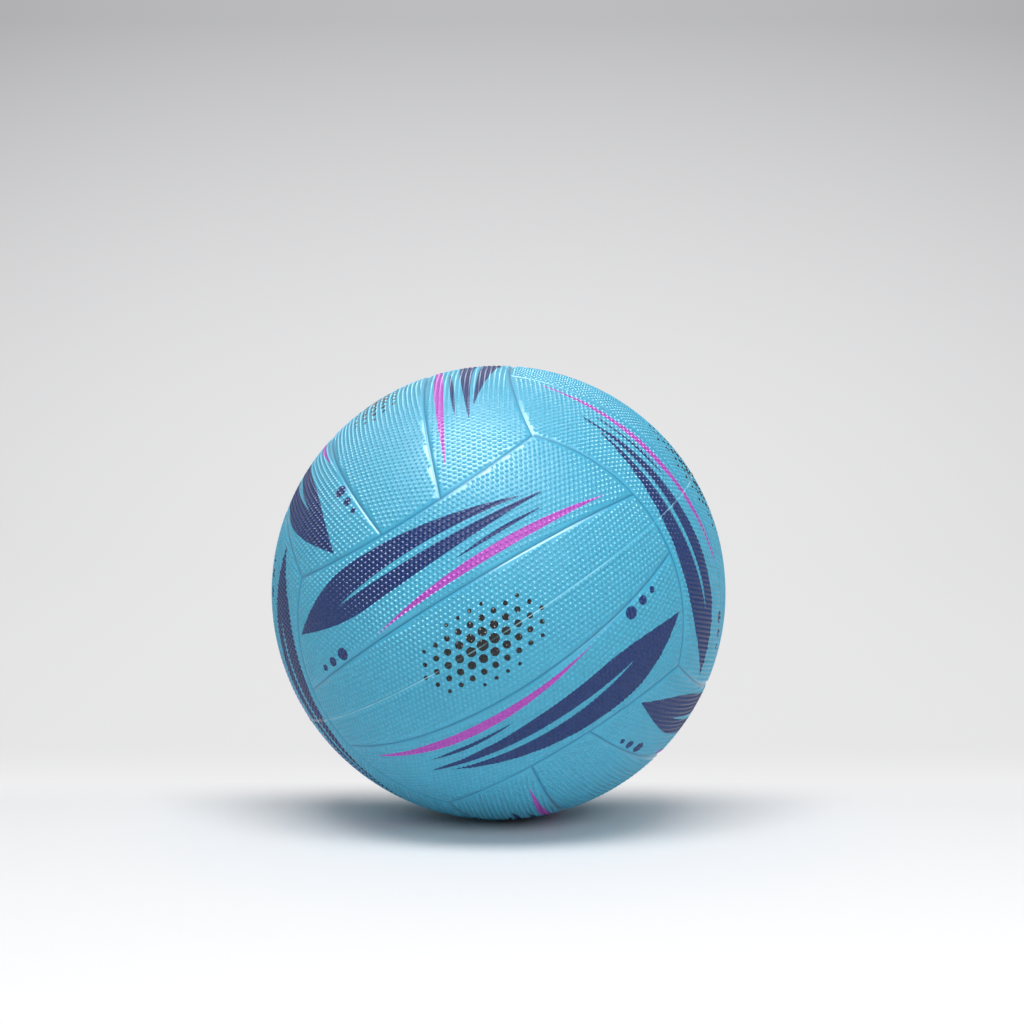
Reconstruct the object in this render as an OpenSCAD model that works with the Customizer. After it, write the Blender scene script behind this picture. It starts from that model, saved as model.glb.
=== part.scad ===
// Inflated size 5 netball: eighteen moulded rubber panels, three strips to each of six faces, with
// the strips of neighbouring faces at right angles, over a carcass, a thread winding and a bladder.
// Lengths are in millimetres and the ball's centre is the origin.

/* [Ball] */
// outer diameter over the cover, for a girth of 700
ball_d = 222.8; // [205:0.2:240]

/* [Cover] */
// thickness of each rubber panel
cover_t = 1.1; // [0.9:0.05:2]
// width of the channel between two panels
seam_gap = 0.4; // [0.3:0.05:0.7]
// width of the sloped shoulder along each panel edge
shoulder = 0.7; // [0.4:0.05:0.85]
// half angle of a face's middle strip, seen from the centre
middle_half_angle = 14; // [11:0.5:17]

/* [Parting line] */
// width of the fine raised line left where the mould halves meet
parting_w = 0.6; // [0.4:0.05:1.2]
// height of that line above the cover
parting_h = 0.14; // [0.08:0.02:0.2]

/* [Carcass] */
// thickness of the rubber layer under the panels
carcass_t = 0.5; // [0.3:0.05:1.2]
// thickness of the thread winding
winding_t = 0.4; // [0.3:0.05:1]
// wall of the bladder
bladder_t = 0.6; // [0.4:0.05:1.2]
// cement film between one layer and the next
bond_t = 0.04; // [0.02:0.01:0.1]

/* [Valve] */
// diameter of the round valve head that shows in the cover
valve_head_d = 9; // [8:0.5:12]
// how far the valve head lies below the cover's surface
valve_sink = 0.3; // [0.1:0.05:0.6]
// clearance round the valve head in the layers that it passes
valve_clear = 0.15; // [0.05:0.05:0.3]
// diameter of the flange inside the bladder
flange_d = 34; // [24:1:42]
// thickness of that flange
flange_t = 1.2; // [0.8:0.1:2]
// diameter of the thick seat moulded in the bladder over the flange
seat_d = 44; // [43:1:56]
// extra thickness of that seat
seat_t = 0.6; // [0.4:0.1:1.5]
// diameter of the stem that holds the needle core
stem_d = 11; // [9:0.5:14]
// depth of the stem's end below the cover's surface
valve_l = 18; // [17:1:24]
// diameter of the air hole in the stem's end
vent_d = 3; // [2.5:0.1:4]

/* [Needle core] */
// diameter of the core's shank
core_d = 4.6; // [4:0.1:5.4]
// diameter of the core's lower bulb, which holds it in
bulb_d = 6.2; // [5.6:0.1:6.8]
// length of the core
core_l = 15; // [13:0.5:15.5]
// diameter of the needle hole
needle_d = 2; // [1.6:0.1:2.4]
// depth of the needle hole, down to the closed slit
needle_l = 8; // [5:0.5:9]
// play between the core and its pocket
core_clear = 0.05; // [0.02:0.01:0.1]

/* [Attitude] */
// turn about X that lays the ball as it rests
attitude_x_angle = 32; // [-180:0.1:180]
// turn about Y, made next
attitude_y_angle = 6.4; // [-180:0.1:180]
// turn about Z, made last
attitude_z_angle = -93.4; // [-180:0.1:180]

/* [Hidden] */
$fn = 96;
fine_fn = 240;

// radii of the layers, from the outside in
cover_r = ball_d / 2;
cover_foot_r = cover_r - cover_t;
carcass_r = cover_foot_r - bond_t;
carcass_foot_r = carcass_r - carcass_t;
winding_r = carcass_foot_r - bond_t;
winding_foot_r = winding_r - winding_t;
bladder_r = winding_foot_r - bond_t;
bladder_foot_r = bladder_r - bladder_t;
seat_foot_r = bladder_foot_r - seat_t;
flange_r = seat_foot_r - bond_t;

// a face's ends and long sides lie on cones about its axes that pass through the eight corners
corner_angle = acos(1 / sqrt(3));
half_gap = seam_gap / 2;
cone_shift = half_gap / sin(corner_angle);
reach = 2 * cover_r;

// the shoulders beside the cones are a tube about the cone's axis and a level plane
shoulder_run = shoulder * cos(corner_angle);
tube_r = cover_r * sin(corner_angle) - half_gap * cos(corner_angle) - shoulder_run;
level_z = cover_r * cos(corner_angle) - half_gap * sin(corner_angle) - shoulder_run;

// how far each blank runs past the strip that is cut from it
over_angle = 6;
sweep_half_angle = 75;

// the parting line's round back, from its width and height, and the edge that it stops short of
parting_r = (parting_w * parting_w / 4 + parting_h * parting_h) / (2 * parting_h);
edge_angle = (half_gap + shoulder + parting_w) / cover_r * 180 / PI;

// the valve's levels along its own axis
head_r = valve_head_d / 2;
hole_r = head_r + valve_clear;
head_top = cover_r - valve_sink;
valve_foot = cover_r - valve_l;
core_top = head_top - valve_sink / 2;
core_foot = core_top - core_l;
pocket_foot = core_foot - core_clear;
bulb_l = bulb_d;
lead_in = needle_d / 4;

cyan = "#56B7D3";
black = "#2A2C30";
thread_white = "#D9D6CC";
butyl = "#1A1A1C";

// lays everything as the ball rests on the floor
module attitude() {
    rotate([attitude_x_angle, attitude_y_angle, attitude_z_angle])
        children();
}

// turns the +x face to one of the six faces, keeping the cyclic run of the strips
module on_face(face) {
    if (face == "front")
        children();
    if (face == "back")
        rotate([0, 0, 180])
            children();
    if (face == "right")
        rotate(a = 120, v = [1, 1, 1])
            children();
    if (face == "left")
        rotate([0, 0, 180])
            rotate(a = 120, v = [1, 1, 1])
                children();
    if (face == "top")
        rotate(a = 240, v = [1, 1, 1])
            children();
    if (face == "base")
        rotate([180, 0, 0])
            rotate(a = 240, v = [1, 1, 1])
                children();
}

// the cover's meridian section, all round
module cover_ring() {
    difference() {
        circle(r = cover_r, $fn = fine_fn);
        circle(r = cover_foot_r, $fn = fine_fn);
    }
}

// sweeps a meridian section about z, far enough for any strip of the +x face
module sweep() {
    rotate([0, 0, -sweep_half_angle])
        rotate_extrude(angle = 2 * sweep_half_angle, $fn = fine_fn)
            children();
}

// the blank of a middle strip: the cover between two latitudes
module middle_blank() {
    rim = middle_half_angle + over_angle;
    sweep()
        intersection() {
            cover_ring();
            polygon([
                [0, 0],
                [reach * cos(rim), -reach * sin(rim)],
                [reach * cos(rim), reach * sin(rim)]
            ]);
        }
}

// the blank of an outer strip: its upper side is the long seam, a cone about z
module outer_blank() {
    sweep()
        intersection() {
            cover_ring();
            polygon([
                [0, -cone_shift],
                [reach * cos(over_angle), -reach * sin(over_angle)],
                [reach * sin(corner_angle), reach * cos(corner_angle) - cone_shift]
            ]);
        }
}

// all above a straight seam tilted about y, with that seam's sloped shoulder
module above_seam(tilt) {
    foot_r = cover_r - shoulder;
    rotate([0, -tilt, 0])
        translate([0, 0, half_gap])
            cylinder(h = cover_r, r1 = foot_r, r2 = foot_r + cover_r);
}

// all inside the end seams, a cone about x
module inside_ends() {
    rotate([0, 90, 0])
        translate([0, 0, cone_shift])
            cylinder(h = reach, r1 = 0, r2 = reach * tan(corner_angle));
}

// the sloped shoulder of the end seams
module end_shoulder() {
    rotate([0, 90, 0])
        cylinder(h = reach, r = tube_r);
}

// the sloped shoulder of the long seam
module long_shoulder() {
    translate([-reach, -reach, level_z - 2 * reach])
        cube([2 * reach, 2 * reach, 2 * reach]);
}

// a stretch of the parting line round z, from one angle to another
module line_piece(from_angle, to_angle) {
    rotate([0, 0, from_angle])
        rotate_extrude(angle = to_angle - from_angle, $fn = fine_fn)
            translate([cover_r + parting_h - parting_r, 0])
                circle(r = parting_r, $fn = 24);
}

// the middle strip of the +x face, which runs along y
module middle_strip() {
    intersection() {
        middle_blank();
        above_seam(-middle_half_angle);
        mirror([0, 0, 1])
            above_seam(-middle_half_angle);
        end_shoulder();
        inside_ends();
    }
}

// the outer strip on that face's +z side
module outer_strip() {
    intersection() {
        outer_blank();
        above_seam(middle_half_angle);
        end_shoulder();
        inside_ends();
        long_shoulder();
    }
}

// a middle strip with the parting line along it
module middle_strip_lined() {
    line_half = corner_angle - edge_angle;
    middle_strip();
    line_piece(-line_half, line_half);
}

// a middle strip with the parting line across it
module middle_strip_crossed() {
    line_half = middle_half_angle - edge_angle;
    middle_strip();
    rotate([90, 0, 0])
        line_piece(-line_half, line_half);
}

// an outer strip with the parting line across it
module outer_strip_crossed() {
    outer_strip();
    rotate([90, 0, 0])
        line_piece(middle_half_angle + edge_angle, 90 - corner_angle - edge_angle);
}

// a middle strip with the hole for the valve head
module middle_strip_bored() {
    difference() {
        middle_strip();
        rotate([0, 90, 0])
            cylinder(h = reach, r = hole_r);
    }
}

module panel_front_upper() {
    color(cyan)
        attitude()
            on_face("front")
                outer_strip();
}

module panel_front_middle() {
    color(cyan)
        attitude()
            on_face("front")
                middle_strip_lined();
}

module panel_front_lower() {
    color(cyan)
        attitude()
            on_face("front")
                mirror([0, 0, 1])
                    outer_strip();
}

module panel_back_upper() {
    color(cyan)
        attitude()
            on_face("back")
                outer_strip();
}

module panel_back_middle() {
    color(cyan)
        attitude()
            on_face("back")
                middle_strip_lined();
}

module panel_back_lower() {
    color(cyan)
        attitude()
            on_face("back")
                mirror([0, 0, 1])
                    outer_strip();
}

module panel_right_front() {
    color(cyan)
        attitude()
            on_face("right")
                outer_strip_crossed();
}

module panel_right_middle() {
    color(cyan)
        attitude()
            on_face("right")
                middle_strip_crossed();
}

module panel_right_back() {
    color(cyan)
        attitude()
            on_face("right")
                mirror([0, 0, 1])
                    outer_strip_crossed();
}

module panel_left_back() {
    color(cyan)
        attitude()
            on_face("left")
                outer_strip_crossed();
}

module panel_left_middle() {
    color(cyan)
        attitude()
            on_face("left")
                middle_strip_crossed();
}

module panel_left_front() {
    color(cyan)
        attitude()
            on_face("left")
                mirror([0, 0, 1])
                    outer_strip_crossed();
}

module panel_top_right() {
    color(cyan)
        attitude()
            on_face("top")
                outer_strip();
}

module panel_top_middle() {
    color(cyan)
        attitude()
            on_face("top")
                middle_strip();
}

module panel_top_left() {
    color(cyan)
        attitude()
            on_face("top")
                mirror([0, 0, 1])
                    outer_strip();
}

module panel_base_left() {
    color(cyan)
        attitude()
            on_face("base")
                outer_strip();
}

module panel_base_middle() {
    color(cyan)
        attitude()
            on_face("base")
                middle_strip_bored();
}

module panel_base_right() {
    color(cyan)
        attitude()
            on_face("base")
                mirror([0, 0, 1])
                    outer_strip();
}

// points the valve's axis, +y in the sections below, out through the middle of the base face
module at_valve() {
    attitude()
        rotate([180, 0, 0])
            rotate_extrude($fn = fine_fn)
                children();
}

// the right half of a shell's section, with an opening round the valve's axis at the top
module shell_section(outer_r, inner_r, open_r) {
    difference() {
        circle(r = outer_r, $fn = fine_fn);
        circle(r = inner_r, $fn = fine_fn);
        translate([-reach, -reach])
            square([reach, 2 * reach]);
        square([open_r, reach]);
    }
}

// the part of a shell's section within a radius of the valve's axis
module cap_section(outer_r, inner_r, rim_r) {
    intersection() {
        difference() {
            circle(r = outer_r, $fn = fine_fn);
            circle(r = inner_r, $fn = fine_fn);
        }
        square([rim_r, reach]);
    }
}

// rubber layer that the panels are bonded to
module carcass() {
    color(black)
        at_valve()
            shell_section(carcass_r, carcass_foot_r, hole_r);
}

// nylon thread wound over the bladder in every direction, taken as one shell
module winding() {
    color(thread_white)
        at_valve()
            shell_section(winding_r, winding_foot_r, hole_r);
}

// airtight bladder with its thick valve seat
module bladder() {
    color(butyl)
        at_valve()
            difference() {
                union() {
                    shell_section(bladder_r, bladder_foot_r, hole_r);
                    cap_section(bladder_r, seat_foot_r, seat_d / 2);
                }
                square([hole_r, reach]);
            }
}

// flanged valve body: its head shows in the cover and its stem hangs inside the ball
module valve_body() {
    pocket_r = core_d / 2 + core_clear;
    bulb_pocket_r = bulb_d / 2 + core_clear;
    color(butyl)
        at_valve()
            difference() {
                union() {
                    intersection() {
                        circle(r = head_top, $fn = fine_fn);
                        translate([0, flange_r - flange_t])
                            square([head_r, reach]);
                    }
                    cap_section(flange_r, flange_r - flange_t, flange_d / 2);
                    translate([0, valve_foot])
                        square([stem_d / 2, flange_r - flange_t / 2 - valve_foot]);
                }
                translate([0, core_foot])
                    square([pocket_r, reach]);
                translate([0, pocket_foot])
                    square([bulb_pocket_r, bulb_l + 2 * core_clear]);
                square([vent_d / 2, reach]);
            }
}

// soft core that takes the inflating needle
module valve_core() {
    color(black)
        at_valve()
            difference() {
                union() {
                    translate([0, core_foot])
                        square([core_d / 2, core_l]);
                    translate([0, core_foot])
                        square([bulb_d / 2, bulb_l]);
                }
                translate([0, core_top - needle_l])
                    square([needle_d / 2, needle_l + lead_in]);
                polygon([
                    [0, core_top - lead_in],
                    [needle_d / 2, core_top - lead_in],
                    [needle_d / 2 + lead_in, core_top],
                    [needle_d / 2 + lead_in, core_top + lead_in],
                    [0, core_top + lead_in]
                ]);
            }
}

panel_front_upper();
panel_front_middle();
panel_front_lower();
panel_back_upper();
panel_back_middle();
panel_back_lower();
panel_right_front();
panel_right_middle();
panel_right_back();
panel_left_back();
panel_left_middle();
panel_left_front();
panel_top_right();
panel_top_middle();
panel_top_left();
panel_base_left();
panel_base_middle();
panel_base_right();
carcass();
winding();
bladder();
valve_body();
valve_core();
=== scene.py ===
# A size 5 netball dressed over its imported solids: eighteen moulded rubber panels with their
# pimples, seams, parting line and print, and the layers and needle valve under them.
import math

import bpy
import numpy as np
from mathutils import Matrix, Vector


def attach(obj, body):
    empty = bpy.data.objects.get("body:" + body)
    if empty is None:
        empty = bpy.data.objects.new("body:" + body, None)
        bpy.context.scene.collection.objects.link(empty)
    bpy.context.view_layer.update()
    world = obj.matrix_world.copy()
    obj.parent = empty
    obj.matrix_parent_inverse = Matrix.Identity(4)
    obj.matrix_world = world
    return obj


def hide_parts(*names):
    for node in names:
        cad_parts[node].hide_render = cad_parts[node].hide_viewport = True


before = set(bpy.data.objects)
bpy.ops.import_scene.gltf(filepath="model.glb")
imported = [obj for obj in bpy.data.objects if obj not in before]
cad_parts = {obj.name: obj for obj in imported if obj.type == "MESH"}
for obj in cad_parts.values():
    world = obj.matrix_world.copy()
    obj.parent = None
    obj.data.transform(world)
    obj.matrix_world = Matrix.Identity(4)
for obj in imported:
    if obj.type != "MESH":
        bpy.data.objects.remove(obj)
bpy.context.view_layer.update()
print("frame loaded,", len(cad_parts), "nodes")

mm = 0.001

ball = {
    "crestRadius": 111.4 * mm,  # to the tops of the pimples, where the solids' cover ends
    "footRadius": 110.3 * mm,  # the underside of the panels
    "middleHalfAngle": 14.0,  # degrees, half of a middle strip seen from the centre
    "frontAxis": (-0.05893677, -0.99201872, -0.11146893),
    "rightAxis": (0.84305219, -0.10926022, 0.52661676),
    "topAxis": (-0.53459281, -0.06293704, 0.84276299),
}

pimples = {
    "rowPitch": 2.37 * mm,  # between rows, which run along each strip
    "pitch": 2.49 * mm,  # between pimples of a row; the next row is set off by half of it
    "columns": 6,  # of the grid to each pimple
    "reach": 1.0,  # radians that the rows run each way from the strip's middle, past its ends
    "outerRows": (-13, 15),  # the first row and the one after the last, past the strip's sides
    "middleRows": (-13, 13),
    "rings": np.array([0, 0.55, 0.93]) * mm,  # radii of a dome's vertices
    "heights": np.array([0.45, 0.31, 0]) * mm,
    # millimetres from a seam's middle to a pimple's, and how much of its full size fits there
    "fits": ((1.36, 0.42), (1.5, 0.57), (1.7, 0.8), (1.93, 1.0)),
}

edges = {
    "rollFrom": 2.1 * mm,  # from a seam's middle, where the surface begins to roll down
    "flatFrom": 1.0 * mm,  # and where that roll ends and the rounded lip begins
    "rollDepth": 0.14 * mm,
    # the lip, in millimetres from the seam's middle and below the smooth rubber
    "profile": ((0.86, 0.2), (0.68, 0.31), (0.5, 0.42), (0.32, 0.5), (0.14, 0.55), (0.03, 0.56)),
    "keepEvery": 3,  # of the close-set vertices along an edge, how many go on down it
    "underRings": 7,
    "underShort": 0.4,  # of a ring's step, how far short of the middle the last ring ends
    "farAlong": 2.0,  # radians, past every side: from here each ring is drawn in
    "farAcross": 1.2,
}

# the step where the mould's halves met: below the line the rubber stands a little high and fades
# back to its level, and the step's own face looks up, with a fine groove at its foot
partingLine = {
    "from": np.array([-2.2, -0.415, 0.0, 0.415]) * mm,  # from the line's middle, up to the top
    "heights": np.array([0.0, 0.34, -0.16, 0.0]) * mm,
    "stopsFrom": 1.6 * mm,  # from a seam's middle
    "standOff": 0.3 * mm,  # how far the rows beside it give way
}

valveHole = {
    "radius": 4.65 * mm,
    "flatFrom": 5.15 * mm,
    # the hole's lip, in millimetres from its middle and below the pad
    "profile": ((5.0, 0.02), (4.8, 0.09), (4.68, 0.24), (4.65, 0.5)),
    "underClear": 1.2 * mm,  # from the hole's wall to the underside's last ring
    "edgeWithin": 0.1,  # radians round the middle, in which an open edge is the hole's
    "padRadius": 6.6 * mm,  # smooth raised pad round the hole
    "padFade": 0.9 * mm,
    "padHeight": 0.3 * mm,
    "pimplesFrom": 8.6 * mm,
}

front, right, top = (np.array(ball[k]) for k in ("frontAxis", "rightAxis", "topAxis"))

# each face: its normal, the way its strips run, the way across them, its strips' names and how
# the mould's parting line passes
faces = {
    "front": (front, right, top, ("upper", "middle", "lower"), "along"),
    "back": (-front, -right, top, ("upper", "middle", "lower"), "along"),
    "right": (right, top, front, ("front", "middle", "back"), "across"),
    "left": (-right, top, -front, ("back", "middle", "front"), "across"),
    "top": (top, front, right, ("right", "middle", "left"), None),
    "base": (-top, front, -right, ("left", "middle", "right"), None),
}

baseRadius = ball["crestRadius"] - pimples["heights"][0]
offDome = np.array([0.0, 0.0, 5.0])  # for a vertex on no dome: well outside a dome's rim at 1
noDome = 9  # grid lines from a row's middle, which is past every dome
samePlace = 1e-9  # radians; places nearer than this are one
onSide = 1e-7  # radians from a side, within which a vertex lies on it
cornerAngle = math.acos(1 / math.sqrt(3))
middleAngle = math.radians(ball["middleHalfAngle"])
outerLean = (middleAngle + math.pi / 2 - cornerAngle) / 2


# A strip's own axes: outer strips turn the face's axes about the strip's run until the first one
# comes out through the strip's middle. The strip on the far side is the same, turned half round.
def stripAxes(normal, along, across, place):
    if place == 0:
        return normal, along, across
    along, across = along * place, across * place
    c, s = math.cos(outerLean), math.sin(outerLean)
    return normal * c + across * s, along, across * c - normal * s


# Point on the unit ball at a longitude along the strip and a latitude across it.
def onBall(axes, lon, lat):
    return (
        np.outer(np.cos(lon) * np.cos(lat), axes[0])
        + np.outer(np.sin(lon) * np.cos(lat), axes[1])
        + np.outer(np.sin(lat), axes[2])
    )


# Latitude at which a ray of that longitude meets the plane or cone whose axis is tilted from the
# across direction: level = |a| sin(latitude + phase), solved for the latitude.
def sideLatitude(lon, tilt, level):
    out, up = math.sin(tilt) * np.cos(lon), math.cos(tilt)
    return np.arcsin(level / np.hypot(out, up)) - np.arctan2(out, up)


# The two long sides and the end of a strip, drawn in from the seams' middles by inset. The
# longitude of the end solves normal . point = cos(corner angle - inset), and a corner is found by
# going to and fro between a side and the end until it stands still.
def stripSides(outer, inset):
    d = inset / baseRadius
    lean = outerLean if outer else 0
    if outer:
        low = lambda lon: sideLatitude(lon, outerLean - middleAngle, math.sin(d))
        high = lambda lon: sideLatitude(lon, outerLean, math.cos(cornerAngle + d))
    else:
        low = lambda lon: sideLatitude(lon, middleAngle, math.sin(d))
        high = lambda lon: sideLatitude(lon, -middleAngle, -math.sin(d))
    end = lambda lat: np.arccos(
        (math.cos(cornerAngle - d) + math.sin(lean) * np.sin(lat))
        / (math.cos(lean) * np.cos(lat))
    )
    corners = []
    for side in (low, high):
        lat = 0.0
        for _ in range(40):
            lat = float(side(end(lat)))
        corners.append(lat)
    return low, high, end, corners


# Nearest place in the strip by moving along a row first and then across the rows.
def drawIn(outer, lon, lat, inset):
    low, high, end, corners = stripSides(outer, inset)
    reach = end(np.clip(lat, corners[0], corners[1]))
    lonIn = np.clip(lon, -reach, reach)
    return lonIn, np.clip(lat, low(lonIn), high(lonIn))


# Quads between two rings of count vertices, given each ring's first index.
def ringFaces(first, second, count):
    i = np.arange(count)
    j = (i + 1) % count
    return np.stack([first + i, second + i, second + j, first + j], 1)


# Faces between a close-set loop and a wider one, where nearest gives each close vertex its wide
# one: a triangle where neighbours share it and a quad where they don't.
def zipFaces(close, wide, nearest):
    after, closeAfter = np.roll(nearest, -1), np.roll(close, -1)
    same = nearest == after
    third = np.where(same, closeAfter, wide[after])
    fourth = np.where(same, -1, closeAfter)
    return np.stack([close, wide[nearest], third, fourth], 1)


# A strip's grid lines, five to each row of pimples, at the row's middle, at the domes' rims and
# between: each one's latitude, its place in its row, its row's number and its row's middle. The
# rows lie a pitch apart, on a middle strip from half a pitch. The parting line has its own lines.
def gridLines(outer, line):
    rowStep = pimples["rowPitch"] / baseRadius
    r1, r2 = pimples["rings"][1:] / baseRadius
    rows = np.arange(*pimples["outerRows" if outer else "middleRows"])
    middles = rows * rowStep if outer else (rows + 0.5) * rowStep
    if line == "along":
        middles += np.sign(middles) * partingLine["standOff"] / baseRadius
    between = 0.5 * (r1 + 0.5 * r2)
    offsets = np.array([-r2, -between, 0, between, r2])
    lines = (middles[:, None] + offsets).ravel()
    across = np.tile(np.arange(len(offsets)) - len(offsets) // 2, len(rows))
    rowOf = np.repeat(np.arange(len(rows)), len(offsets))
    if line == "along":
        at, added = int(np.searchsorted(lines, 0)), partingLine["from"][1:] / baseRadius
        lines, across = np.insert(lines, at, added), np.insert(across, at, [noDome] * len(added))
        rowOf = np.insert(rowOf, at, [rowOf[at]] * len(added))
    return lines, across, rows[rowOf], middles[rowOf]


# The pimples on their grid, six columns to each: every dome's 5 x 5 vertices are drawn onto two
# rings and an apex, no larger than fits beside a seam. Gives each vertex's longitude, latitude,
# height and place on its own dome, where the rim is 1 from the middle.
def domeGrid(outer, line, bored):
    per, rim = pimples["columns"], len(pimples["rings"]) - 1
    step = pimples["pitch"] / per / baseRadius
    reach = math.ceil(pimples["reach"] / step)
    lines, across, row, middle = gridLines(outer, line)
    col, ln = np.meshgrid(np.arange(-reach, reach + 1), np.arange(len(lines)), indexing="ij")
    dj = across[ln]
    di = (col - per // 2 * (row[ln] % 2) + per // 2) % per - per // 2
    ring = np.maximum(abs(di), abs(dj))
    midLon, midLat = (col - di) * step, middle[ln]
    size = np.zeros(midLon.shape)
    for inset, share in pimples["fits"]:
        inLon, inLat = drawIn(outer, midLon, midLat, inset * mm)
        size = np.where(abs(inLon - midLon) + abs(inLat - midLat) < samePlace, share, size)
    isDome = (ring <= rim) & (size > 0)
    if line == "across":  # the domes in its way are left out
        isDome &= col != di
    if bored:
        isDome &= np.hypot(midLon, midLat) * baseRadius > valveHole["pimplesFrom"]
    ring, turn = np.minimum(ring, rim), np.arctan2(dj, di)
    radius = pimples["rings"][ring] * size / baseRadius
    lon = np.where(isDome, midLon + radius * np.cos(turn), col * step)
    lat = np.where(isDome, midLat + radius * np.sin(turn), lines[ln])
    height = np.where(isDome, pimples["heights"][ring] * size, 0)
    out = pimples["rings"][ring] / pimples["rings"][rim]
    spot = np.stack([out * np.cos(turn), out * np.sin(turn), 0 * out], -1)
    return lon, lat, height, np.where(isDome[..., None], spot, offDome)


# Round the valve: a smooth step of the height up to the pad, and places nearer to the middle than
# the hole's lip moved straight out onto it. Also says which those are.
def aroundHole(lon, lat, height):
    away = np.hypot(lon, lat)
    flat = valveHole["flatFrom"] / baseRadius
    hidden = away < flat
    out = np.where(hidden, flat / np.maximum(away, samePlace), 1)
    pad = (valveHole["padRadius"] - away * baseRadius) / valveHole["padFade"] + 1
    pad = np.clip(pad, 0, 1)
    pad = pad * pad * (3 - 2 * pad) * valveHole["padHeight"]
    return lon * out, lat * out, np.maximum(height, pad), hidden


# The grid's quads once the places that agree to nine decimals of a radian are joined, less those
# in the hole and those squeezed flat on the strip's edge. A quad with two joined corners becomes a
# triangle. Gives the joined places, the first grid vertex at each, and the quads.
def joinedQuads(lon, lat, hidden):
    spots, first, back = np.unique(
        np.round(np.stack([lon.ravel(), lat.ravel()], 1), 9),
        axis=0, return_index=True, return_inverse=True,
    )
    back = back.reshape(lon.shape)
    quads = np.stack(
        [back[:-1, :-1], back[1:, :-1], back[1:, 1:], back[:-1, 1:]], -1
    ).reshape(-1, 4)
    buried = hidden[:-1, :-1] & hidden[1:, :-1] & hidden[1:, 1:] & hidden[:-1, 1:]
    quads = quads[~buried.ravel()]
    x, y = spots[quads, 0], spots[quads, 1]
    area = (x * np.roll(y, -1, 1) - np.roll(x, -1, 1) * y).sum(1)
    quads = quads[area > 1e-12]
    doubled = quads == np.roll(quads, -1, 1)
    quads = quads[doubled.sum(1) < 2]
    # a triangle is turned so that its last place is the free one
    doubled = quads == np.roll(quads, -1, 1)
    turnBy = np.where(doubled.any(1), doubled.argmax(1) + 1, 0)
    quads = np.take_along_axis(quads, (np.arange(4) + turnBy[:, None]) % 4, 1)
    quads[doubled.any(1), 3] = -1
    used, relabel = np.unique(quads[quads >= 0]), np.full(len(spots), -1)
    relabel[used] = np.arange(len(used))
    return spots[used, 0], spots[used, 1], first[used], np.where(quads >= 0, relabel[quads], -1)


# A strip's outer surface: the pimples, the parting line's step, and towards a seam a roll down by
# the square of the way to the rounded lip. What lies outside the strip is moved onto its edge.
# Upwards is -1 on a strip turned half round, whose longitude grows away from the top.
def outerGrid(outer, line, upwards, bored):
    lon, lat, height, spot = domeGrid(outer, line, bored)
    if line:
        up = (lon * upwards if line == "across" else lat) * baseRadius
        lift = np.interp(up, partingLine["from"], partingLine["heights"])
        a, b = drawIn(outer, lon, lat, partingLine["stopsFrom"])
        height = height + np.where(abs(a - lon) + abs(b - lat) < samePlace, lift, 0)
    a, b = drawIn(outer, lon, lat, edges["rollFrom"])
    inLon, inLat = drawIn(outer, lon, lat, edges["flatFrom"])
    way = np.hypot(a - inLon, b - inLat) * baseRadius / (edges["rollFrom"] - edges["flatFrom"])
    height = height - edges["rollDepth"] * np.minimum(way, 1) ** 2
    hidden = np.zeros(lon.shape, bool)
    if bored:
        inLon, inLat, height, hidden = aroundHole(inLon, inLat, height)
    lon, lat, first, quads = joinedQuads(inLon, inLat, hidden)
    return lon, lat, height.ravel()[first], spot.reshape(-1, 3)[first], quads


# The vertices that lie on an open edge: a directed side with no side running back along it.
def openVertices(quads, count):
    start, stop = [], []
    for i in range(4):
        a = quads[:, i]
        b = quads[:, (i + 1) % 4].copy()
        b[b < 0] = quads[b < 0, 0]
        keep = (a >= 0) & (a != b)
        start.append(a[keep])
        stop.append(b[keep])
    start, stop = np.concatenate(start), np.concatenate(stop)
    return np.unique(start[~np.isin(start * count + stop, stop * count + start)])


# Adds a ring of vertices to a shell and gives its first one's index.
def addRing(shell, lon, lat, radius):
    first = shell["count"]
    shell["lons"].append(lon)
    shell["lats"].append(lat)
    shell["radii"].append(np.broadcast_to(radius, lon.shape))
    shell["count"] += len(lon)
    return first


# For vertices on the strip's edge: places far past the sides that they lie on, so that drawIn
# takes them back to the same sides at any inset, and which of them are corners.
def pastSides(outer, lon, lat):
    low, high, end = stripSides(outer, edges["flatFrom"])[:3]
    onEnd = abs(abs(lon) - end(lat)) < onSide
    onHigh = abs(lat - high(lon)) < onSide
    onLow = abs(lat - low(lon)) < onSide
    farLon = np.where(onEnd, np.sign(lon) * edges["farAlong"], lon)
    farLat = np.where(onHigh, edges["farAcross"], np.where(onLow, -edges["farAcross"], lat))
    return farLon, farLat, onEnd & (onHigh | onLow)


# The soft edge, carried down round the loop as a profile to the foot of the wall. Only some of the
# loop's vertices and its corners go on. Gives the last ring's first index and its places.
def addEdge(shell, outer, loop, lon, lat):
    farLon, farLat, isCorner = pastSides(outer, lon, lat)
    kept = np.arange(0, len(loop), edges["keepEvery"])
    kept = np.unique(np.concatenate([kept, np.flatnonzero(isCorner)]))
    halfway = np.append((kept[1:] + kept[:-1]) / 2, (kept[-1] + len(loop)) / 2)
    nearest = np.searchsorted(halfway, np.arange(len(loop))) % len(kept)
    last = None
    for inset, depth in edges["profile"]:
        a, b = drawIn(outer, farLon[kept], farLat[kept], inset * mm)
        ring = addRing(shell, a, b, baseRadius - depth * mm)
        if last is None:
            shell["faces"].append(zipFaces(loop, ring + np.arange(len(kept)), nearest))
        else:
            shell["faces"].append(ringFaces(last, ring, len(kept)))
        last = ring
    ring = addRing(shell, a, b, ball["footRadius"])
    shell["faces"].append(ringFaces(last, ring, len(kept)))
    return ring, a, b


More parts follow.
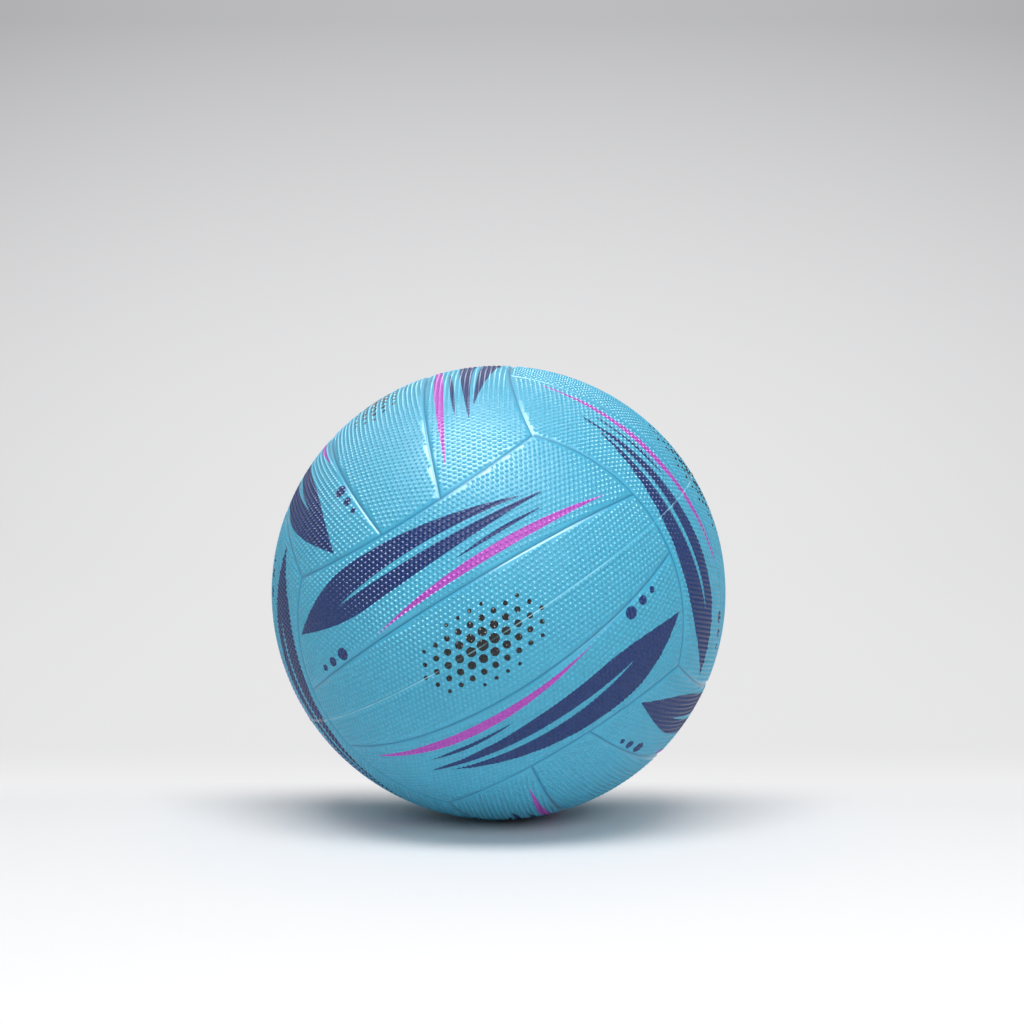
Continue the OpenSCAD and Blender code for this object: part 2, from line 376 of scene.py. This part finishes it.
# The underside: rings drawn in evenly from the wall's foot towards the middle, which a fan closes,
# or to a stop round the hole. Gives the last ring's first index.
def addUnderside(shell, last, a, b, bored):
    count, m = edges["underRings"], len(a)
    away = np.hypot(a, b)
    stop = (valveHole["radius"] + valveHole["underClear"]) / baseRadius / away if bored else 0
    shares = 1 - np.arange(1, count + 1) / (count + (0 if bored else edges["underShort"]))
    for share in shares:
        share = stop + (1 - stop) * share
        ring = addRing(shell, a * share, b * share, ball["footRadius"])
        shell["faces"].append(ringFaces(last, ring, m))
        last = ring
    if not bored:
        middle = addRing(shell, np.zeros(1), np.zeros(1), ball["footRadius"])
        i = last + np.arange(m)
        fan = np.stack([i, np.full(m, middle), np.roll(i, -1), np.full(m, -1)], 1)
        shell["faces"].append(fan)
    return last


# The valve's hole: its lip and wall as a profile carried down round the hole's edge, whose last
# ring is joined to the underside's, each vertex of that to the nearest by its turn.
def addHole(shell, hole, turn, close, closeTurn):
    order = np.argsort(-turn)
    hole, turn = hole[order], turn[order]
    n, padTop = len(hole), valveHole["padHeight"] + baseRadius
    rings = [(radius * mm, padTop - depth * mm) for radius, depth in valveHole["profile"]]
    rings.append((valveHole["radius"], ball["footRadius"]))
    last = None
    for radius, level in rings:
        r = radius / baseRadius
        ring = addRing(shell, r * np.cos(turn), r * np.sin(turn), level)
        if last is None:
            shell["faces"].append(zipFaces(hole, ring + np.arange(n), np.arange(n)))
        else:
            shell["faces"].append(ringFaces(last, ring, n))
        last = ring
    wide, wideTurn = (last + np.arange(n))[::-1], turn[::-1]
    halfway = (wideTurn[1:] + wideTurn[:-1]) / 2
    halfway = np.append(halfway, (wideTurn[-1] + wideTurn[0]) / 2 + math.pi)
    nearest = np.searchsorted(halfway, closeTurn) % n
    shell["faces"].append(zipFaces(close, wide, nearest))


# One whole panel as a closed mesh: the outer surface, its soft edge and wall, the underside and,
# on the bored panel, the valve's hole.
def panelMesh(outer, line, upwards, bored):
    lon, lat, height, spot, quads = outerGrid(outer, line, upwards, bored)
    shell = {
        "lons": [lon], "lats": [lat], "radii": [height + baseRadius],
        "faces": [quads], "count": len(lon),
    }
    edge = openVertices(quads, len(lon))
    isHole = np.hypot(lon[edge], lat[edge]) < valveHole["edgeWithin"]
    loop, hole = edge[~isHole], edge[isHole]
    loop = loop[np.argsort(np.arctan2(lat[loop], lon[loop]))]
    last, a, b = addEdge(shell, outer, loop, lon[loop], lat[loop])
    last = addUnderside(shell, last, a, b, bored)
    if bored:
        holeTurn = np.arctan2(lat[hole], lon[hole])
        addHole(shell, hole, holeTurn, last + np.arange(len(a)), np.arctan2(b, a))
    # only the outer surface has domes
    spot = np.concatenate([spot, np.tile(offDome, (shell["count"] - len(spot), 1))])
    lons, lats, radii, allFaces = (
        np.concatenate(shell[k]) for k in ("lons", "lats", "radii", "faces")
    )
    return lons, lats, radii, spot, allFaces


printed = {
    # plain bars, pinstripes, ticks and dots on the outer strips: along and across in degrees from
    # the strip's middle, widths in millimetres
    "bar": {"from": -45, "to": 31, "at": 3.2, "rise": -0.05, "half": 11.5, "fullest": 0.32},
    "slot": {"from": -30, "to": 40, "at": 2.4, "rise": -0.02, "half": 1.6, "fullest": 0.4},
    "stripe": {"from": -22, "to": 46, "at": -6.6, "rise": 0.06, "half": 2.3, "fullest": 0.55},
    "tick": {"from": 4, "to": 30, "at": -3.0, "rise": 0.08, "half": 1.0, "fullest": 0.5},
    "dots": ((-34, -6.6, 3.1), (-38.5, -6.2, 2.3), (-42.2, -5.8, 1.6)),
    # rows of black dots on the middle strips, which shrink away from the middle
    "spots": {
        "pitch": 6.2, "rowPitch": 5.4, "along": 34.0, "across": 17.0,
        "largest": 2.75, "smallest": 0.9,
    },
    # cosines of the angles from a strip's middle, and from a face's, that hold all its print
    "stripWithin": 0.55,
    "spotsWithin": 0.95,
    "noInk": 9.0,  # millimetres, for what is far from any print
}


# Signed distance in millimetres to a straight tapered bar: distance from its centre line less its
# half width, which swells from one point to the fullest share of its length and thins to the
# other. Past a point the half width falls below nothing.
def barDistance(lon, lat, bar):
    t = (np.degrees(lon) - bar["from"]) / (bar["to"] - bar["from"])
    full = bar["fullest"]
    s = np.where(t < full, t / full, (1 - t) / (1 - full))
    swell = np.where(s > 0, np.sin(np.clip(s, 0, 1) * math.pi / 2), s * 4)
    centre = bar["at"] + bar["rise"] * (np.degrees(lon) - (bar["from"] + bar["to"]) / 2)
    return abs(lat - np.radians(centre)) * baseRadius / mm - bar["half"] * swell


# Signed distances of the three inks over points of the unit ball, each face's print in turn: the
# least of its shapes' distances, where a slot takes its own shape out of the bar.
def inkDistances(points):
    navy = np.full(len(points), printed["noInk"])
    magenta, black = navy.copy(), navy.copy()
    for faceName, face in faces.items():
        normal, along, across = face[:3]
        for place in (1, -1):
            n, a, c = stripAxes(normal, along, across, place)
            out = points @ n
            seen = np.flatnonzero(out > printed["stripWithin"])
            if not len(seen):
                continue
            lon = np.arctan2(points[seen] @ a, out[seen])
            lat = np.arcsin(np.clip(points[seen] @ c, -1, 1))
            bar, slot, tick, stripe = (
                barDistance(lon, lat, printed[k]) for k in ("bar", "slot", "tick", "stripe")
            )
            d = np.minimum(np.maximum(bar, -slot), tick)
            for x, y, r in printed["dots"]:
                away = np.hypot(lon - math.radians(x), lat - math.radians(y)) * baseRadius / mm
                d = np.minimum(d, away - r)
            navy[seen] = np.minimum(navy[seen], d)
            magenta[seen] = np.minimum(magenta[seen], stripe)
        out = points @ normal
        seen = np.flatnonzero(out > printed["spotsWithin"])
        if len(seen) and faceName != "base":  # the valve takes the spots' place there
            x = points[seen] @ along * baseRadius / mm
            y = points[seen] @ across * baseRadius / mm
            spots = printed["spots"]
            row = np.round(y / spots["rowPitch"])
            shift = (row % 2) / 2
            midX = (np.round(x / spots["pitch"] - shift) + shift) * spots["pitch"]
            midY = row * spots["rowPitch"]
            out = np.hypot(midX / spots["along"], midY / spots["across"])
            size = spots["largest"] + (spots["smallest"] - spots["largest"]) * out
            # an ellipse holds them, with a little over for those on its edge
            size = np.where(out < 1.001, size, -printed["noInk"])
            black[seen] = np.minimum(black[seen], np.hypot(x - midX, y - midY) - size)
    return {"navyInk": navy, "magentaInk": magenta, "blackInk": black}


# Puts arrays straight into a mesh at the origin; a face whose fourth vertex is -1 is a triangle.
def makeMesh(name, points, allFaces, values):
    mesh = bpy.data.meshes.new(name)
    corners = allFaces.ravel()
    corners = corners[corners >= 0]
    counts = (allFaces >= 0).sum(1)
    starts = np.concatenate([[0], np.cumsum(counts)[:-1]])
    mesh.vertices.add(len(points))
    mesh.vertices.foreach_set("co", points.astype(np.float32).ravel())
    mesh.loops.add(len(corners))
    mesh.loops.foreach_set("vertex_index", corners.astype(np.int32))
    mesh.polygons.add(len(counts))
    mesh.polygons.foreach_set("loop_start", starts.astype(np.int32))
    mesh.polygons.foreach_set("use_smooth", np.ones(len(counts), bool))
    mesh.update(calc_edges=True)
    for key, value in values.items():
        kind, field = ("FLOAT", "value") if value.ndim == 1 else ("FLOAT_VECTOR", "vector")
        data = mesh.attributes.new(key, kind, "POINT").data
        data.foreach_set(field, value.astype(np.float32).ravel())
    obj = bpy.data.objects.new(name, mesh)
    bpy.context.scene.collection.objects.link(obj)
    return obj


# sRGB hex to linear
def linear(hexColor):
    parts = [int(hexColor[i:i + 2], 16) / 255 for i in (1, 3, 5)]
    return [p / 12.92 if p <= 0.04045 else ((p + 0.055) / 1.055) ** 2.4 for p in parts] + [1.0]


# adds a node with its settings and links; a value that is a socket is linked
def node(tree, kind, settings=(), **inputs):
    made = tree.nodes.new("ShaderNode" + kind)
    for key, value in dict(settings).items():
        setattr(made, key, value)
    for key, value in inputs.items():
        index = key.replace("_", " ")
        socket = made.inputs[int(index[1:])] if index[1:].isdigit() else made.inputs[index]
        if isinstance(value, bpy.types.NodeSocket):
            tree.links.new(value, socket)
        else:
            socket.default_value = value
    return made


# an empty material and its node tree
def newMaterial(name):
    material = bpy.data.materials.new(name)
    material.use_nodes = True
    material.node_tree.nodes.clear()
    return material, material.node_tree


# Natural rubber, moulded with a fine satin grain and printed with flexible ink: a clear cyan body
# with a broad soft sheen, painted shade between the pimples, and inks that lie in the surface.
coverLook = {
    "rubber": "#4FB6D6",
    # deeper colour: painted shade low on the pimples and in the seams, random tone in blotches
    "rubberShadeAndTone": "#42A6C8",
    "navy": "#10336F",
    "magenta": "#B44CBE",
    "black": "#14171A",
    "seam": "#BCD4E0",  # painted shade: what the grooves leave of the colour above
    # share of the deeper rubber at a pimple's foot, as painted shade, and what a crest adds to it;
    # and what the broad blotches add as random tone: their level times the third number plus the
    # fourth, where above nothing
    "paintedShadeFoot": 0.62,
    "paintedShadeCrest": -0.45,
    "deepBlotch": 0.5,
    "deepEven": -0.2,
    "blotchSize": 26.0,  # mm
    # the print's edge in mm: how far it wanders from side to side, over what length, and how far
    # it fades to each side
    "inkWander": 0.5,
    "inkWanderSize": 10 / 9,
    "inkEdge": 0.12,
    # heights between which a seam's painted shade comes up, and the least that is kept, where a
    # pimple's crest is at 1
    "seamFrom": -0.8,
    "seamTo": -1.2,
    "lowest": -1.3,
    # the mould's parting line in mm from its middle: a painted highlight on its lip, painted
    # shade in the groove above it, and how far both fade to each side
    "lip": "#A8E2F2",
    "lipAt": -0.2,
    "lipHalf": 0.2,
    "grooveAt": 0.2,
    "grooveHalf": 0.14,
    "lineEdge": 0.06,
    # the painted highlight and shade are seen least at the first level of the blotches and most
    # at the second
    "lineSeenLevels": (0.42, 0.64),
    "lineSeenShares": (0.1, 0.7),
    "roughness": 0.3,
    "blotchRoughness": 0.1,  # how far the blotches vary it
    "inkRoughness": -0.06,  # what the ink adds to it
    "roundness": 0.26,  # mm, of the domes' shading between their vertices
    "grainSize": 0.45,  # mm, coarser than the real grain of about 0.1 so that it shows
    "grainDepth": 0.06,  # mm
    "ior": 1.5,
}


# Colour: the rubber's or the deeper one by height, as painted shade, and by blotches, then each
# ink by its signed distance, the seams' painted shade and the parting line's painted highlight
# and shade. Roughness: varied by the blotches and the ink.
def coverMaterial():
    material, tree = newMaterial("mouldedRubberPrinted")
    look = coverLook
    place = node(tree, "TexCoord").outputs["Object"]
    blotch = node(tree, "TexNoise", Vector=place, Scale=1000 / look["blotchSize"], Detail=3.0,
                  Roughness=0.55)
    grain = node(tree, "TexNoise", Vector=place, Scale=1000 / look["grainSize"], Detail=4.0,
                 Roughness=0.6)
    wander = node(tree, "TexNoise", Vector=place, Scale=1000 / look["inkWanderSize"], Detail=2.0)
    crest = node(tree, "Attribute", {"attribute_name": "pimple"})
    # painted shade: more of the deeper rubber the lower a place lies
    deep = node(tree, "Math", {"operation": "MULTIPLY_ADD"},
                i0=crest.outputs["Fac"], i1=look["paintedShadeCrest"], i2=look["paintedShadeFoot"])
    tone = node(tree, "Math", {"operation": "MULTIPLY_ADD", "use_clamp": True},
                i0=blotch.outputs["Fac"], i1=look["deepBlotch"], i2=look["deepEven"])
    both = node(tree, "Math", {"operation": "ADD", "use_clamp": True},
                i0=deep.outputs[0], i1=tone.outputs[0])
    color = node(tree, "Mix", {"data_type": "RGBA"}, i0=both.outputs[0],
                 i6=linear(look["rubber"]), i7=linear(look["rubberShadeAndTone"])).outputs[2]
    # the noise moves each ink's edge out and in by half of its wander
    inked, edge = None, look["inkWander"] / 2
    for ink in ("navy", "magenta", "black"):
        far = node(tree, "Attribute", {"attribute_name": ink + "Ink"})
        rough = node(tree, "Math", {"operation": "MULTIPLY_ADD"},
                     i0=wander.outputs["Fac"], i1=look["inkWander"], i2=far.outputs["Fac"])
        mask = node(tree, "MapRange", {"interpolation_type": "SMOOTHSTEP"},
                    Value=rough.outputs[0], i1=edge + look["inkEdge"], i2=edge - look["inkEdge"],
                    i3=0.0, i4=1.0).outputs[0]
        color = node(tree, "Mix", {"data_type": "RGBA"}, i0=mask, i6=color,
                     i7=linear(look[ink])).outputs[2]
        if inked is not None:
            mask = node(tree, "Math", {"operation": "MAXIMUM"}, i0=inked, i1=mask).outputs[0]
        inked = mask
    # painted shade deep in the seams' grooves
    low = node(tree, "MapRange", Value=crest.outputs["Fac"],
               i1=look["seamFrom"], i2=look["seamTo"], i3=0.0, i4=1.0)
    color = node(tree, "Mix", {"data_type": "RGBA", "blend_type": "MULTIPLY"}, i0=low.outputs[0],
                 i6=color, i7=linear(look["seam"])).outputs[2]
    parting = node(tree, "Attribute", {"attribute_name": "partingLine"}).outputs["Fac"]
    levels, shares = look["lineSeenLevels"], look["lineSeenShares"]
    lineSeen = node(tree, "MapRange", Value=blotch.outputs["Fac"],
                i1=levels[0], i2=levels[1], i3=shares[0], i4=shares[1])
    # a painted highlight on the line's lip and painted shade in the groove above it
    for at, half, blend, tint in (
        (look["lipAt"], look["lipHalf"], "MIX", look["lip"]),
        (look["grooveAt"], look["grooveHalf"], "MULTIPLY", look["seam"]),
    ):
        away = node(tree, "Math", {"operation": "SUBTRACT"}, i0=parting, i1=at)
        away = node(tree, "Math", {"operation": "ABSOLUTE"}, i0=away.outputs[0])
        mask = node(tree, "MapRange", {"interpolation_type": "SMOOTHSTEP"}, Value=away.outputs[0],
                    i1=half + look["lineEdge"], i2=half - look["lineEdge"],
                    i3=0.0, i4=lineSeen.outputs[0])
        color = node(tree, "Mix", {"data_type": "RGBA", "blend_type": blend}, i0=mask.outputs[0],
                     i6=color, i7=linear(tint)).outputs[2]
    vary = look["blotchRoughness"]
    shine = node(tree, "Math", {"operation": "MULTIPLY_ADD"},
                 i0=blotch.outputs["Fac"], i1=vary, i2=look["roughness"] - vary / 2)
    shine = node(tree, "Math", {"operation": "MULTIPLY_ADD"},
                 i0=inked, i1=look["inkRoughness"], i2=shine.outputs[0])
    # the domes' full roundness between their vertices: one less the square of the way out
    spot = node(tree, "Attribute", {"attribute_name": "domeSpot"}).outputs["Vector"]
    out = node(tree, "VectorMath", {"operation": "DOT_PRODUCT"}, i0=spot, i1=spot)
    dome = node(tree, "Math", {"operation": "SUBTRACT", "use_clamp": True},
                i0=1.0, i1=out.outputs["Value"])
    domed = node(tree, "Bump", Strength=1.0, Distance=look["roundness"] * mm,
                 Height=dome.outputs[0])
    bump = node(tree, "Bump", Strength=0.35, Distance=look["grainDepth"] * mm,
                Height=grain.outputs["Fac"], Normal=domed.outputs["Normal"])
    skin = node(tree, "BsdfPrincipled", Base_Color=color, Roughness=shine.outputs[0],
                Normal=bump.outputs["Normal"], IOR=look["ior"])
    node(tree, "OutputMaterial", Surface=skin.outputs[0])
    return material


# Black rubber compound: dull, with a fine grain and a faint pale bloom. Grain sizes in mm.
blackLook = {
    "cloudSize": 9,  # mm, of the bloom's clouds
    "bloomLevels": (0.45, 0.75),  # of the clouds, between which the bloom comes up
    "bloomMost": 0.6,
    "grainRoughness": 0.12,  # how far the grain varies the roughness
    "grainDepth": 0.05,  # mm
    "ior": 1.52,
}
# calendered in a sheet: the dullest, with some of the cover's blue
carcassLook = {"base": "#1B2B33", "bloom": "#27414C", "roughness": 0.62, "grainSize": 0.5}
# butyl, moulded on a blasted form: an even and coarser grain
bladderLook = {"base": "#17181A", "bloom": "#2B2D30", "roughness": 0.5, "grainSize": 0.7}
# small parts from smoother moulds: a finer grain, and the valve's body the shiniest
valveBodyLook = {"base": "#151617", "bloom": "#2A2C2F", "roughness": 0.46, "grainSize": 0.4}
valveCoreLook = {"base": "#202124", "bloom": "#3A3C40", "roughness": 0.52, "grainSize": 0.35}


# Colour goes from base to bloom with the clouds, and the roughness is varied by the grain.
def blackRubber(name, own):
    material, tree = newMaterial(name)
    look = blackLook
    place = node(tree, "TexCoord").outputs["Object"]
    grain = node(tree, "TexNoise", Vector=place, Scale=1000 / own["grainSize"], Detail=4.0,
                 Roughness=0.6)
    cloud = node(tree, "TexNoise", Vector=place, Scale=1000 / look["cloudSize"], Detail=3.0)
    levels = look["bloomLevels"]
    share = node(tree, "MapRange", Value=cloud.outputs["Fac"],
                 i1=levels[0], i2=levels[1], i3=0.0, i4=look["bloomMost"])
    color = node(tree, "Mix", {"data_type": "RGBA"}, i0=share.outputs[0],
                 i6=linear(own["base"]), i7=linear(own["bloom"]))
    vary = look["grainRoughness"]
    shine = node(tree, "Math", {"operation": "MULTIPLY_ADD"},
                 i0=grain.outputs["Fac"], i1=vary, i2=own["roughness"] - vary / 2)
    bump = node(tree, "Bump", Strength=0.4, Distance=look["grainDepth"] * mm,
                Height=grain.outputs["Fac"])
    skin = node(tree, "BsdfPrincipled", Base_Color=color.outputs[2], Roughness=shine.outputs[0],
                Normal=bump.outputs["Normal"], IOR=look["ior"])
    node(tree, "OutputMaterial", Surface=skin.outputs[0])
    return material


# Nylon thread, wound in every direction under a little rubber cement: pale crossed strands.
threadLook = {
    "hollow": "#8F897B",
    "strand": "#DDD9CE",
    "strandPitch": 1.579,  # mm, where the real ones lie about 0.4 apart, so that they show
    "layers": ((0.3, 0.2, 0.1), (1.3, 0.7, 2.1), (2.4, 1.6, 0.9)),  # each layer's turn, radians
    "strandHeight": 0.2,  # mm
    "roughness": 0.62,
    "sheen": 0.25,
    "ior": 1.53,
}


# The highest of three sets of waves, each turned its own way, is the height, and gives the colour.
# A wave's bands lie pi / 10 over its scale apart.
def threadMaterial():
    material, tree = newMaterial("woundNylonThread")
    look = threadLook
    place = node(tree, "TexCoord").outputs["Object"]
    height = None
    for turn in look["layers"]:
        turned = node(tree, "Mapping", Vector=place, Rotation=turn)
        wave = node(tree, "TexWave", {"bands_direction": "X"}, Vector=turned.outputs[0],
                    Scale=math.pi / 10 / (look["strandPitch"] * mm), Distortion=1.5, Detail=2.0)
        wave = wave.outputs["Fac"]
        if height is not None:
            wave = node(tree, "Math", {"operation": "MAXIMUM"}, i0=height, i1=wave).outputs[0]
        height = wave
    color = node(tree, "Mix", {"data_type": "RGBA"}, i0=height,
                 i6=linear(look["hollow"]), i7=linear(look["strand"]))
    bump = node(tree, "Bump", Strength=0.7, Distance=look["strandHeight"] * mm, Height=height)
    skin = node(tree, "BsdfPrincipled", Base_Color=color.outputs[2], Roughness=look["roughness"],
                Sheen_Weight=look["sheen"], Normal=bump.outputs["Normal"], IOR=look["ior"])
    node(tree, "OutputMaterial", Surface=skin.outputs[0])
    return material


cover = coverMaterial()
dressing = {
    "carcass": blackRubber("calenderedCarcassRubber", carcassLook),
    "winding": threadMaterial(),
    "bladder": blackRubber("mouldedButyl", bladderLook),
    "valve_body": blackRubber("mouldedValveRubber", valveBodyLook),
    "valve_core": blackRubber("mouldedCoreRubber", valveCoreLook),
}
for name, material in dressing.items():
    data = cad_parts[name].data
    data.materials.clear()
    data.materials.append(material)
print("materials made")

# The parting line passes over the middle strips that it runs along, and over all three of the
# faces that it crosses.
for faceName, (normal, along, across, names, line) in faces.items():
    for place, stripName in zip((1, 0, -1), names):
        name = f"panel_{faceName}_{stripName}"
        bored = faceName == "base" and place == 0
        passes = line if place == 0 or line == "across" else None
        upwards = -1 if place < 0 else 1
        lon, lat, radius, spot, panelFaces = panelMesh(place != 0, passes, upwards, bored)
        unit = onBall(stripAxes(normal, along, across, place), lon, lat)
        values = inkDistances(unit)
        height = (radius - baseRadius) / pimples["heights"][0]
        values["pimple"] = np.clip(height, coverLook["lowest"], 1)
        values["domeSpot"] = spot
        values["partingLine"] = np.arcsin(unit @ top) * baseRadius / mm
        coverName = f"cover_{faceName}_{stripName}"
        panel = makeMesh(coverName, unit * radius[:, None], panelFaces, values)
        panel.data.materials.append(cover)
        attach(panel, "root")
        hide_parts(name)
    print("panels of the", faceName, "face made,", len(panelFaces), "faces in the last")

# Matt white background paper: level under the ball, then swept up behind it. Away from the ball
# it glows, with painted light falloff that darkens it upwards and to the sides.
stageLook = {
    "floorLevel": -ball["crestRadius"],
    "levelRows": (-6.0, -1.0),  # metres, the sheet's front edge and a row nearer to the ball
    "sweepFrom": 1.3,  # metres behind the ball's centre, where the floor begins to rise
    "sweepRadius": 0.5,
    "sweepSteps": 25,
    "height": 3.0,
    "halfWidth": 6.0,
    "floor": "#F0F0F1",
    "backdropFoot": "#F2F2F3",
    "backdropLow": "#E8E8E9",
    "backdropHigh": "#ADADAF",
    # painted light falloff: the backdrop goes from low to high by the sum of a power of the rise
    # between two levels, in metres, and a share of the square of the way aside, up to a limit,
    # over the most
    "riseLevels": (-0.13, 0.497),
    "risePower": 2.1,
    "asideShare": 0.65,
    "asideMost": 0.4,
    "dimMost": 1.3,
    # metres behind the ball's centre between which the foot's colour comes in towards the ball,
    # and between which the paper's own light takes over; it also does between distances all round
    "footRows": (0.22, 0.03),
    "glowRows": (0.02, 0.1),
    "glowRound": (0.45, 0.95),
}


# 1 for the rays that are to see the pale background: the camera's, and those in metal and glass.
def backgroundRays(tree):
    path = node(tree, "LightPath")
    rays = path.outputs["Is Camera Ray"]
    for kind in ("Is Glossy Ray", "Is Transmission Ray"):
        rays = node(tree, "Math", {"operation": "MAXIMUM"}, i0=rays, i1=path.outputs[kind])
        rays = rays.outputs[0]
    return rays


# Floor and backdrop in one sheet: a level profile, a quarter circle up and an upright, carried
# straight across.
def makeStage():
    look = stageLook
    turn = np.linspace(0, math.pi / 2, look["sweepSteps"])
    start, r = look["sweepFrom"], look["sweepRadius"]
    y = np.concatenate([look["levelRows"], start + r * np.sin(turn), [start + r]])
    z = np.concatenate([[0, 0], r * (1 - np.cos(turn)), [look["height"]]]) + look["floorLevel"]
    x = np.array([-look["halfWidth"], look["halfWidth"]])
    points = np.stack([np.repeat(x, len(y)), np.tile(y, 2), np.tile(z, 2)], 1)
    i = np.arange(len(y) - 1)
    sheet = np.stack([i, i + len(y), i + len(y) + 1, i + 1], 1)
    stage = makeMesh("stageSheet", points, sheet, {})
    material, tree = newMaterial("paperSweep")
    smooth = {"interpolation_type": "SMOOTHSTEP"}
    place = node(tree, "TexCoord").outputs["Object"]
    parts = node(tree, "SeparateXYZ", Vector=place)
    # painted light falloff: the glow darkens upwards and to the sides
    low, high = look["riseLevels"]
    rise = node(tree, "MapRange", Value=parts.outputs["Z"], i1=low, i2=high, i3=0.0, i4=1.0)
    rise = node(tree, "Math", {"operation": "POWER"}, i0=rise.outputs[0], i1=look["risePower"])
    aside = node(tree, "Math", {"operation": "MULTIPLY"},
                 i0=parts.outputs["X"], i1=parts.outputs["X"])
    aside = node(tree, "Math", {"operation": "MINIMUM"},
                 i0=aside.outputs[0], i1=look["asideMost"])
    paintedFalloff = node(tree, "Math", {"operation": "MULTIPLY_ADD"},
               i0=aside.outputs[0], i1=look["asideShare"], i2=rise.outputs[0])
    paintedFalloff = node(tree, "Math", {"operation": "DIVIDE", "use_clamp": True},
               i0=paintedFalloff.outputs[0], i1=look["dimMost"])
    backdrop = node(tree, "Mix", {"data_type": "RGBA"}, i0=paintedFalloff.outputs[0],
                    i6=linear(look["backdropLow"]), i7=linear(look["backdropHigh"]))
    low, high = look["footRows"]
    near = node(tree, "MapRange", smooth, Value=parts.outputs["Y"],
                i1=low, i2=high, i3=0.0, i4=1.0)
    backdrop = node(tree, "Mix", {"data_type": "RGBA"}, i0=near.outputs[0],
                    i6=backdrop.outputs[2], i7=linear(look["backdropFoot"]))
    paper = node(tree, "BsdfDiffuse", Color=linear(look["floor"]))
    glow = node(tree, "Emission", Color=backdrop.outputs[2], Strength=1.0)
    low, high = look["glowRows"]
    behind = node(tree, "MapRange", smooth, Value=parts.outputs["Y"],
                  i1=low, i2=high, i3=0.0, i4=1.0)
    apart = node(tree, "VectorMath", {"operation": "LENGTH"}, i0=place)
    low, high = look["glowRound"]
    apart = node(tree, "MapRange", smooth, Value=apart.outputs["Value"],
                 i1=low, i2=high, i3=0.0, i4=1.0)
    share = node(tree, "Math", {"operation": "MAXIMUM"}, i0=behind.outputs[0], i1=apart.outputs[0])
    share = node(tree, "Math", {"operation": "MULTIPLY"},
                 i0=backgroundRays(tree), i1=share.outputs[0])
    mixed = node(tree, "MixShader", i0=share.outputs[0], i1=paper.outputs[0], i2=glow.outputs[0])
    node(tree, "OutputMaterial", Surface=mixed.outputs[0])
    stage.data.materials.append(material)


makeStage()

studio = {"fill": 0.28}  # the world's even light
# area lamps turned towards the ball: places and sizes in metres
lamps = {
    "frontSoftbox": {"at": (0.3, -1.18, 0.6), "size": (0.9, 0.6), "watts": 5.0},
    "overheadSoftbox": {"at": (0.0, -0.52, 1.15), "size": (1.0, 0.42), "watts": 12.7},
    "rearSoftbox": {"at": (0.0, 1.0, 0.95), "size": (1.6, 0.5), "watts": 1.4},
    # only mirrored in the rubber's sheen
    "topReflector": {
        "at": (-0.2, -0.15, 1.15), "size": (0.85, 0.75), "watts": 34.0, "sheenOnly": True,
    },
}


# an area lamp that points at the ball's centre
def makeLamp(name, lamp):
    light = bpy.data.lights.new(name, "AREA")
    light.shape = "RECTANGLE"
    light.size, light.size_y = lamp["size"]
    light.energy = lamp["watts"]
    obj = bpy.data.objects.new(name, light)
    obj.location = lamp["at"]
    obj.visible_diffuse = not lamp.get("sheenOnly", False)
    obj.rotation_euler = Vector(lamp["at"]).to_track_quat("Z", "Y").to_euler()
    bpy.context.scene.collection.objects.link(obj)


for name, lamp in lamps.items():
    makeLamp(name, lamp)
world = bpy.data.worlds.new("studioFill")
world.use_nodes = True
sky = world.node_tree
sky.nodes["Background"].inputs["Color"].default_value = (1, 1, 1, 1)
sky.nodes["Background"].inputs["Strength"].default_value = studio["fill"]
bpy.context.scene.world = world

view = {
    "distance": 1.2355,  # metres from the lens to the ball's centre
    "focalPixels": 2507.4,  # for an image 1024 pixels wide
    "imageSize": 1024,
    "ballAt": (498.7, 592.1),  # pixels, where the ball's centre is seen
    "pitch": 4.17,  # degrees that the camera looks down
    "sensor": 36.0,  # mm
}


# The camera stands back from the ball's centre along the ray through the pixel where it is seen.
def makeCamera():
    half, focal = view["imageSize"] / 2, view["focalPixels"]
    ray = np.array([(view["ballAt"][0] - half) / focal, (half - view["ballAt"][1]) / focal, -1.0])
    ray *= view["distance"] / np.linalg.norm(ray)
    pitch = math.radians(view["pitch"])
    sideways = np.array([1, 0, 0])
    up = np.array([0, math.sin(pitch), math.cos(pitch)])
    back = np.array([0, -math.cos(pitch), math.sin(pitch)])
    camera = bpy.data.objects.new("camera", bpy.data.cameras.new("camera"))
    camera.data.sensor_width = view["sensor"]
    camera.data.lens = view["sensor"] * focal / view["imageSize"]
    camera.location = -(ray[0] * sideways + ray[1] * up + ray[2] * back)
    camera.rotation_euler = (math.pi / 2 - pitch, 0, 0)
    bpy.context.scene.collection.objects.link(camera)
    bpy.context.scene.camera = camera


makeCamera()
bpy.context.scene.view_settings.view_transform = "Standard"
print("stage, lamps and camera made")
